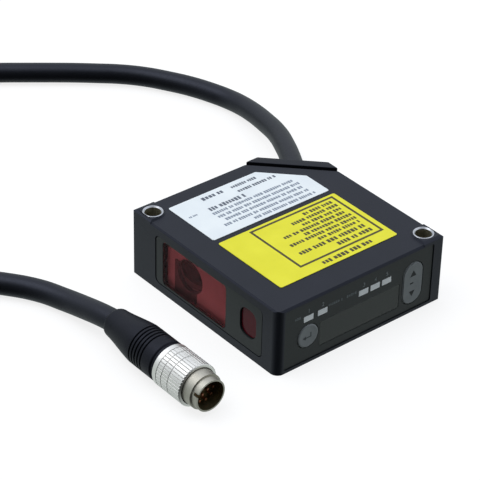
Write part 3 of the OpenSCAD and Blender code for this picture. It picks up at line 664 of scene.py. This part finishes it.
def turnedPiece(name, profile, start, along, side, steps=96):
    start, along, side = Vector(start), Vector(along), Vector(side)
    places = [(start + along * d + side * r) * mm for r, d in profile]
    deselectAll()
    bpy.ops.mesh.primitive_plane_add(size=mm)
    piece = bpy.context.object
    piece.name = name
    editAll(piece)
    bpy.ops.mesh.merge(type="CENTER")
    bpy.ops.transform.translate(value=places[0])
    for before, after in zip(places, places[1:]):
        bpy.ops.mesh.extrude_vertices_move(TRANSFORM_OT_translate={"value": after - before})
    bpy.ops.mesh.select_all(action="SELECT")
    bpy.ops.mesh.spin(steps=steps, angle=2 * math.pi, center=start * mm, axis=along)
    bpy.ops.mesh.select_all(action="SELECT")
    bpy.ops.mesh.remove_doubles(threshold=seam * mm)
    bpy.ops.mesh.normals_make_consistent(inside=False)
    bpy.ops.object.mode_set(mode="OBJECT")
    smoothBy(piece)
    return piece


# round key: a shallow dish with a soft rim, and the flange that keeps it behind the panel
enterKey = {
    "middle": (-18.1, -30, 8.5),
    "profile": [
        (0, 0.1), (1.6, 0.1), (2.3, 0.08), (2.75, 0.02), (3.0, 0.0), (3.2, 0.05), (3.33, 0.15), (3.4, 0.34),
        (3.4, 1.12), (3.8, 1.12), (3.9, 1.2), (3.9, 1.66), (3.85, 1.7), (3.4, 1.7), (3.4, 1.95),
        (3.35, 2.0), (0, 2.0),
    ],
}
piece = turnedPiece("enterKey", enterKey["profile"], enterKey["middle"], (0, 1, 0), (1, 0, 0))
dressPiece(piece, keySilicone, "enter_key", "key_plastic", "enter_key")


def makeCollars(facts):
    ro, ri, top, b = facts["outer"], facts["bore"], facts["top"], facts["bevel"]
    foot, rim = facts["footEdge"], facts["topEdge"]
    profile = [
        (ri, b), (ri + b, 0), (ro - foot, 0), (ro, foot), (ro, top - rim), (ro - rim, top), (ri + b, top),
        (ri, top - b), (ri, b),
    ]
    tubes = []
    for x, y in facts["holes"]:
        tubes.append(turnedPiece("collars", profile, (x, y, 0), (0, 0, 1), (1, 0, 0), facts["sides"]))
    piece = joinPieces(tubes, "collars")
    dressPiece(piece, platedSteel, "case", "collar_metal", "mounting_collars")
    middles = [Vector(hole) for hole in facts["holes"]]
    paintFaces(piece, boreShadeSteel, lambda spot: min((spot.xy - m).length for m in middles) < facts["shadeTo"])


makeCollars(collars)
print("turned key and collars made")


# connector boot: nose under the sleeve, ring grooves, then a taper that ends round on the lead
boot = {
    "noseStart": 14.5, "sleeveEnd": 16.1, "slideEnd": 17.3, "step": 17.6, "end": 39.4,
    "noseR": 5.3, "slideR": 5.4, "bodyR": 5.8, "rearR": 4.15, "endR": 3.5, "boreR": 4.4, "boreEnd": 19,
    "grooveStart": 21.3, "groovePitch": 1.15, "grooves": 5, "grooveDepth": 0.5, "grooveHalf": 0.28,
    "noseEdge": 0.1,
    "shoulder": [(-0.1, -0.08), (-0.02, 0.02), (0, 0.2)],  # radius and distance from the step's corner
    "ease": 0.4,  # share of the taper that starts and ends softly
    "endRound": 1.4, "grooveSteps": 6, "taperSteps": 8, "endSteps": 6,
}


def bootProfile(facts):
    body, nose, rear = facts["bodyR"], facts["noseR"], facts["rearR"]
    start, edge, ease = facts["noseStart"], facts["noseEdge"], facts["ease"]
    points = [(0.0, facts["boreEnd"]), (facts["boreR"], facts["boreEnd"]), (facts["boreR"], start)]
    points += [(nose - edge, start), (nose, start + edge)]
    points += [(nose, facts["sleeveEnd"]), (facts["slideR"], facts["slideEnd"])]
    points += [(body + out, facts["step"] + along) for out, along in facts["shoulder"]]
    for i in range(facts["grooves"]):
        middle = facts["grooveStart"] + i * facts["groovePitch"]
        for k in range(facts["grooveSteps"] + 1):
            a = math.pi * k / facts["grooveSteps"]
            side = middle - facts["grooveHalf"] * math.cos(a)
            points.append((body - facts["grooveDepth"] * math.sin(a), side))
    taperStart = facts["grooveStart"] + facts["grooves"] * facts["groovePitch"]
    taperEnd = facts["end"] - facts["endRound"]
    for k in range(facts["taperSteps"] + 1):
        t = k / facts["taperSteps"]
        fall = (1 - ease) * t + ease * (3 * t * t - 2 * t * t * t)
        points.append((body - (body - rear) * fall, taperStart + t * (taperEnd - taperStart)))
    for k in range(1, facts["endSteps"] + 1):
        a = math.pi / 2 * k / facts["endSteps"]
        drop = (rear - facts["endR"]) * (1 - math.cos(a))
        points.append((rear - drop, taperEnd + facts["endRound"] * math.sin(a)))
    points.append((0.0, facts["end"]))
    return points


piece = turnedPiece("connectorBoot", bootProfile(boot), plug["tip"], (0, 1, 0), (1, 0, 0))
dressPiece(piece, bootTpe, "case", "boot_rubber", "connector_boot")
print("boot made")


# coupling sleeve: turned with three ring grooves, then straight grooves pressed in all round
sleeve = {
    "outer": 6.0, "floor": 5.84, "start": 5.1, "end": 16.1, "knurl": (5.35, 14.35),
    "rings": [(9.75, 10.0), (12.35, 12.6), (14.35, 14.6)], "ringFloor": 5.86,
    "lip": 5.6, "mouth": 5.25, "mouthEnd": 6.5, "bore": 5.2, "boreEnd": 12.8, "skirt": 5.5,
    "edge": 0.15, "skirtEdge": 0.1,
    "grooves": 42, "columns": 6,  # columns of the mesh in each groove and its land
    "dull": (5.7, 5.94),  # radii between which a face belongs to a groove
    "slack": 0.02, "smooth": 30,  # mm, and degrees between faces that shade as one
}


def makeSleeve(facts):
    ro, rf, ringFloor, edge = facts["outer"], facts["floor"], facts["ringFloor"], facts["edge"]
    start, end, lip, skirt = facts["start"], facts["end"], facts["lip"], facts["skirt"]
    mouth, mouthEnd, bore, boreEnd = facts["mouth"], facts["mouthEnd"], facts["bore"], facts["boreEnd"]
    knurlStart = facts["knurl"][0]
    profile = [(mouth, start), (lip, start), (rf, knurlStart - edge), (ro, knurlStart)]
    for near, far in facts["rings"]:
        profile += [(ro, near), (ringFloor, near), (ringFloor, far), (ro, far)]
    profile += [(ro, end - edge), (ro - edge, end), (lip, end), (skirt, end - facts["skirtEdge"])]
    profile += [(skirt, boreEnd), (bore, boreEnd), (bore, mouthEnd), (mouth, mouthEnd), (mouth, start)]
    columns = facts["grooves"] * facts["columns"]
    piece = turnedPiece("couplingSleeve", profile, plug["tip"], (0, 1, 0), (1, 0, 0), columns)
    tip = Vector(plug["tip"])
    first, last = (tip.y + d for d in facts["knurl"])
    slack = facts["slack"]

    def inGroove(spot):
        angle = math.atan2(spot.z - tip.z, spot.x - tip.x)
        column = round(angle / (2 * math.pi) * columns) % facts["columns"]
        onLand = plugRadius(spot) > ro - slack and first - slack < spot.y < last + slack
        return onLand and column == 0

    pickVertices(piece, inGroove)
    shrink = rf / ro
    bpy.ops.transform.resize(value=(shrink, 1, shrink), center_override=tip * mm)
    bpy.ops.object.mode_set(mode="OBJECT")
    smoothBy(piece, facts["smooth"])
    dressPiece(piece, satinNickel, "coupling_sleeve", "nickel", "coupling_sleeve")
    # the knurl's groove faces get the darker nickel: painted shade in the grooves
    piece.data.materials.append(grooveShadeNickel)
    shadeFrom, shadeTo = facts["dull"]
    for face in piece.data.polygons:
        middle = face.center / mm
        if shadeFrom < plugRadius(middle) < shadeTo and middle.y > first:
            face.material_index = 1


makeSleeve(sleeve)
print("sleeve made")


# print: flat blocks of ink, drawn along X and Y and then laid on a face
def inkBlocks(name, blocks, thick=0.02):
    deselectAll()
    bpy.ops.mesh.primitive_plane_add(size=mm)
    piece = bpy.context.object
    piece.name = name
    editAll(piece)
    bpy.ops.mesh.delete(type="VERT")
    for x, y, w, h in blocks:
        place = Vector((x, y, 0)) * mm
        bpy.ops.mesh.primitive_plane_add(size=mm, location=place)
        bpy.ops.transform.resize(value=(w, h, 1), center_override=place)
    bpy.ops.mesh.select_all(action="SELECT")
    bpy.ops.mesh.extrude_region_move(TRANSFORM_OT_translate={"value": (0, 0, thick * mm)})
    bpy.ops.mesh.select_all(action="SELECT")
    bpy.ops.mesh.normals_make_consistent(inside=False)
    bpy.ops.object.mode_set(mode="OBJECT")
    return piece


def layOnTop(piece, height):
    piece.location = (0, 0, height * mm)
    settle(piece)


def layOnKeyFace(piece, depth):
    # what was drawn upwards now points out of the key face
    piece.rotation_euler = (math.pi / 2, 0, 0)
    piece.location = (0, depth * mm, 0)
    settle(piece)


# print on both labels: rows of plain blocks, and a frame on the yellow one
labelPrint = {
    "top": 20.05,  # upper face of the labels
    "greyRows": [  # from x, to x, y, height, width of a block
        (-10.9, -2.8, 22.6, 1.5, 0.85), (-12.4, 0.0, 17.5, 1.6, 0.85), (-0.8, 8.2, 22.6, 1.1, 0.6),
        (-0.5, 12.7, 20.0, 1.1, 0.6),
    ],
    "faintRows": [
        (-12.9, 15.0, 15.3, 1.1, 0.6), (-12.7, 15.6, 13.3, 1.1, 0.6), (-11.8, 15.5, 11.3, 1.1, 0.6),
        (-13.8, 15.4, 9.2, 1.1, 0.6), (-5.4, 16.0, 7.1, 1.1, 0.6), (-19.1, -16.0, 17.7, 0.7, 0.4),
    ],
    "darkRows": [
        (6.0, 16.4, 0.6, 1.2, 0.72), (0.5, 16.4, -1.3, 1.2, 0.72), (2.5, 16.4, -3.2, 1.2, 0.72),
        (-5.5, 16.4, -5.1, 1.2, 0.72), (0.0, 16.4, -7.0, 1.2, 0.72), (-6.5, 16.4, -8.9, 1.2, 0.72),
        (1.5, 16.4, -10.8, 1.2, 0.72), (-7.0, 16.4, -13.1, 1.45, 0.85), (4.0, 16.4, -15.6, 1.45, 0.85),
        (-5.0, 12.4, -19.9, 1.5, 0.9),
    ],
    "frame": (-10.6, 17.7, -17.7, 2.4), "frameWidth": 0.7, "frameGap": 0.02,
    "gap": 0.34, "wordGap": 0.75, "seed": 7,  # gaps as shares of a block
}


words = {"blocks": (2, 8), "widths": (0.75, 1.15), "heights": (0.8, 1.0, 1.0)}  # sizes as shares of a block


def rowBlocks(rows, facts, draw):
    blocks = []
    for x0, x1, y, height, width in rows:
        x, left = x0, draw.randint(*words["blocks"])
        while x + width < x1:
            w = width * draw.uniform(*words["widths"])
            blocks.append((x + w / 2, y, w, height * draw.choice(words["heights"])))
            x += w + width * facts["gap"]
            left -= 1
            if left == 0:
                x += width * facts["wordGap"]
                left = draw.randint(*words["blocks"])
    return blocks


def frameBars(facts):
    x0, x1, y0, y1 = facts["frame"]
    width = facts["frameWidth"]
    midX, midY = (x0 + x1) / 2, (y0 + y1) / 2
    wide, tall = x1 - x0 + width, y1 - y0 - width - facts["frameGap"]
    return [
        (midX, y0, wide, width), (midX, y1, wide, width),
        (x0, midY, width, tall), (x1, midY, width, tall),
    ]


draw = random.Random(labelPrint["seed"])
for name, rows, ink, slot in (
    ("boldPrint", "greyRows", "greyInk", "label_white"),
    ("finePrint", "faintRows", "faintInk", "label_white"),
    ("yellowPrint", "darkRows", "darkInk", "label_yellow"),
):
    piece = inkBlocks(name, rowBlocks(labelPrint[rows], labelPrint, draw))
    layOnTop(piece, labelPrint["top"])
    dressPiece(piece, inks[ink], "case", slot)
piece = inkBlocks("yellowFrame", frameBars(labelPrint))
layOnTop(piece, labelPrint["top"])
dressPiece(piece, inks["darkInk"], "case", "label_yellow")
print("labels printed")


# marks on the keys: two triangles and a bar on the rocker, a bent arrow on the round key
keyMarks = {
    "face": -30.0, "thick": 0.03, "sink": 0.01,
    "up": (18.15, 12.3, 1.25, 90), "down": (18.0, 6.5, 1.15, -90),  # x, z, radius, direction in degrees
    "bar": [(17.75, 9.55, 1.2, 0.45)],
    "arrow": [(-18.15, 8.1, 2.3, 0.36), (-17.18, 8.75, 0.36, 1.3)], "arrowHead": (-19.2, 8.1, 0.75, 180),
    "dish": 0.1,  # how deep the middle of the round key lies
}


def addTriangles(piece, marks, thick):
    editAll(piece)
    bpy.ops.mesh.select_all(action="DESELECT")
    for x, y, radius, turn in marks:
        place = Vector((x, y, 0)) * mm
        bpy.ops.mesh.primitive_circle_add(
            vertices=3, radius=radius * mm, fill_type="NGON", location=place,
            rotation=(0, 0, math.radians(turn - 90)),
        )
        bpy.ops.mesh.extrude_region_move(TRANSFORM_OT_translate={"value": (0, 0, thick * mm)})
    bpy.ops.mesh.select_all(action="SELECT")
    bpy.ops.mesh.normals_make_consistent(inside=False)
    bpy.ops.object.mode_set(mode="OBJECT")


piece = inkBlocks("rockerMarks", keyMarks["bar"], keyMarks["thick"])
addTriangles(piece, [keyMarks["up"], keyMarks["down"]], keyMarks["thick"])
layOnKeyFace(piece, keyMarks["face"] + keyMarks["sink"])
dressPiece(piece, inks["markInk"], "up_down_key", "key_plastic")
piece = inkBlocks("enterMark", keyMarks["arrow"], keyMarks["thick"])
addTriangles(piece, [keyMarks["arrowHead"]], keyMarks["thick"])
layOnKeyFace(piece, keyMarks["face"] + keyMarks["dish"] + keyMarks["sink"])
dressPiece(piece, inks["softInk"], "enter_key", "key_plastic")


# plain numbers over the lights, printed on the key panel
lightNumbers = {
    "face": -29.75, "height": 16.2, "size": 1.7, "depth": 0.01, "proud": 0.005,
    "places": {"1": -18.0, "2": -13.3, "3": 0.7, "4": 4.7, "5": 8.75},
    "seam": 0.0005,  # mm, the conversion leaves its seams open
}


def makeNumbers(facts):
    made = []
    for number, x in facts["places"].items():
        deselectAll()
        bpy.ops.object.text_add(location=(x * mm, facts["height"] * mm, 0))
        text = bpy.context.object
        text.data.body = number
        text.data.align_x = text.data.align_y = "CENTER"
        text.data.size = facts["size"] * mm
        text.data.extrude = facts["depth"] * mm
        makeActive(text)
        bpy.ops.object.convert(target="MESH")
        made.append(bpy.context.object)
    piece = joinPieces(made, "lightNumbers")
    settle(piece)
    editAll(piece)
    bpy.ops.mesh.remove_doubles(threshold=facts["seam"] * mm)
    bpy.ops.object.mode_set(mode="OBJECT")
    layOnKeyFace(piece, facts["face"] - facts["proud"])
    dressPiece(piece, inks["paleInk"], "case", "key_panel")


makeNumbers(lightNumbers)

# print beside the lights: rows of plain blocks
panelPrint = {
    "rows": [(-22.6, -19.7, 15.2, 0.8, 0.5), (-11.4, -6.4, 15.0, 0.8, 0.5), (-5.2, -1.6, 15.0, 0.8, 0.5)],
    "gap": 0.4, "wordGap": 0.8, "seed": 3, "sink": 0.01,
}
draw = random.Random(panelPrint["seed"])
piece = inkBlocks("panelPrint", rowBlocks(panelPrint["rows"], panelPrint, draw))
layOnKeyFace(piece, lightNumbers["face"] + panelPrint["sink"])
dressPiece(piece, inks["dimInk"], "case", "key_panel")


# display: five unlit digits of seven segments each, on the face of the module
digits = {
    "face": -28.8, "middle": (-0.25, 7.25), "count": 5, "pitch": 4.7, "width": 2.7, "height": 4.6,
    "bar": 0.5, "shorter": 0.6, "thick": 0.05,  # an upright is this much shorter than half a digit
}


def digitBlocks(facts):
    w, h, b = facts["width"], facts["height"], facts["bar"]
    midX, midZ = facts["middle"]
    blocks = []
    for i in range(facts["count"]):
        x = midX + (i - (facts["count"] - 1) / 2) * facts["pitch"]
        for level in (-1, 0, 1):
            blocks.append((x, midZ + level * h / 2, w - 2 * b, b))
        for side in (-1, 1):
            for level in (-1, 1):
                blocks.append((x + side * (w - b) / 2, midZ + level * h / 4, b, h / 2 - facts["shorter"]))
        blocks.append((x + w / 2 + b, midZ - h / 2, b, b))
    return blocks


piece = inkBlocks("digitSegments", digitBlocks(digits), digits["thick"])
layOnKeyFace(piece, digits["face"])
dressPiece(piece, segmentEpoxy, "case", "smoked_acrylic")
print("marks, numbers and digits made")


# stage: white paper under a wide soft dome, with a dark side behind the camera
stageFacts = {
    "floor": 3.0, "paper": "#8a8a8a", "paperGlow": "#ffffff", "glow": 0.8, "paperRough": 0.9,
    "low": 0.7, "high": 1.2,  # brightness of the dome at the horizon and at the top
    "darkWay": (-0.645, -0.764, 0.0), "darkFrom": 0.05, "darkTo": 0.8, "dark": 0.05,
    "tints": [(0.0, "#edf6f5"), (0.6, "#f0f5ff")],  # of the dome at the horizon and higher up
    "key": 3.0, "keyPlace": (-0.35, 0.25, 0.85), "keySize": 0.7,
}


def makeStage(facts):
    deselectAll()
    bpy.ops.mesh.primitive_plane_add(size=facts["floor"])
    floor = bpy.context.object
    floor.name = "floor"
    paper = startFinish("paperFloor", {
        "Base Color": toLinear(facts["paper"]), "Roughness": facts["paperRough"], "Specular IOR Level": 0.0,
        "Emission Color": toLinear(facts["paperGlow"]), "Emission Strength": facts["glow"],
    })[0]
    floor.data.materials.append(paper)
    floor.visible_diffuse = False  # the paper's glow stays off the dark case
    floor.visible_glossy = False
    world = bpy.data.worlds.new("studio")
    bpy.context.scene.world = world
    world.use_nodes = True
    tree = world.node_tree
    sky = addNode(tree, "ShaderNodeTexCoord").outputs["Generated"]
    parts = addNode(tree, "ShaderNodeSeparateXYZ", links={"Vector": sky})
    rise = addNode(
        tree, "ShaderNodeMapRange", {"To Min": facts["low"], "To Max": facts["high"]},
        {"Value": parts.outputs["Z"]},
    )
    facing = addNode(tree, "ShaderNodeVectorMath", {"operation": "DOT_PRODUCT"}, {0: sky})
    facing.inputs[1].default_value = facts["darkWay"]
    shade = addNode(
        tree, "ShaderNodeMapRange",
        {"interpolation_type": "SMOOTHSTEP", "From Min": facts["darkFrom"], "From Max": facts["darkTo"],
         "To Min": 1.0, "To Max": facts["dark"]},
        {"Value": facing.outputs["Value"]},
    )
    both = addNode(
        tree, "ShaderNodeMath", {"operation": "MULTIPLY"},
        {0: rise.outputs["Result"], 1: shade.outputs["Result"]},
    )
    tint = addNode(tree, "ShaderNodeValToRGB", {"stops": facts["tints"]}, {"Fac": parts.outputs["Z"]})
    dome = tree.nodes["Background"]
    tree.links.new(tint.outputs["Color"], dome.inputs["Color"])
    tree.links.new(both.outputs["Value"], dome.inputs["Strength"])
    bpy.ops.object.light_add(type="AREA", location=facts["keyPlace"])
    lamp = bpy.context.object
    lamp.name = "softbox"
    lamp.data.size = facts["keySize"]
    lamp.data.energy = facts["key"]
    lamp.rotation_euler = (-Vector(facts["keyPlace"])).to_track_quat("-Z", "Y").to_euler()
    bpy.context.scene.view_settings.view_transform = "Standard"


makeStage(stageFacts)
print("floor and light set")
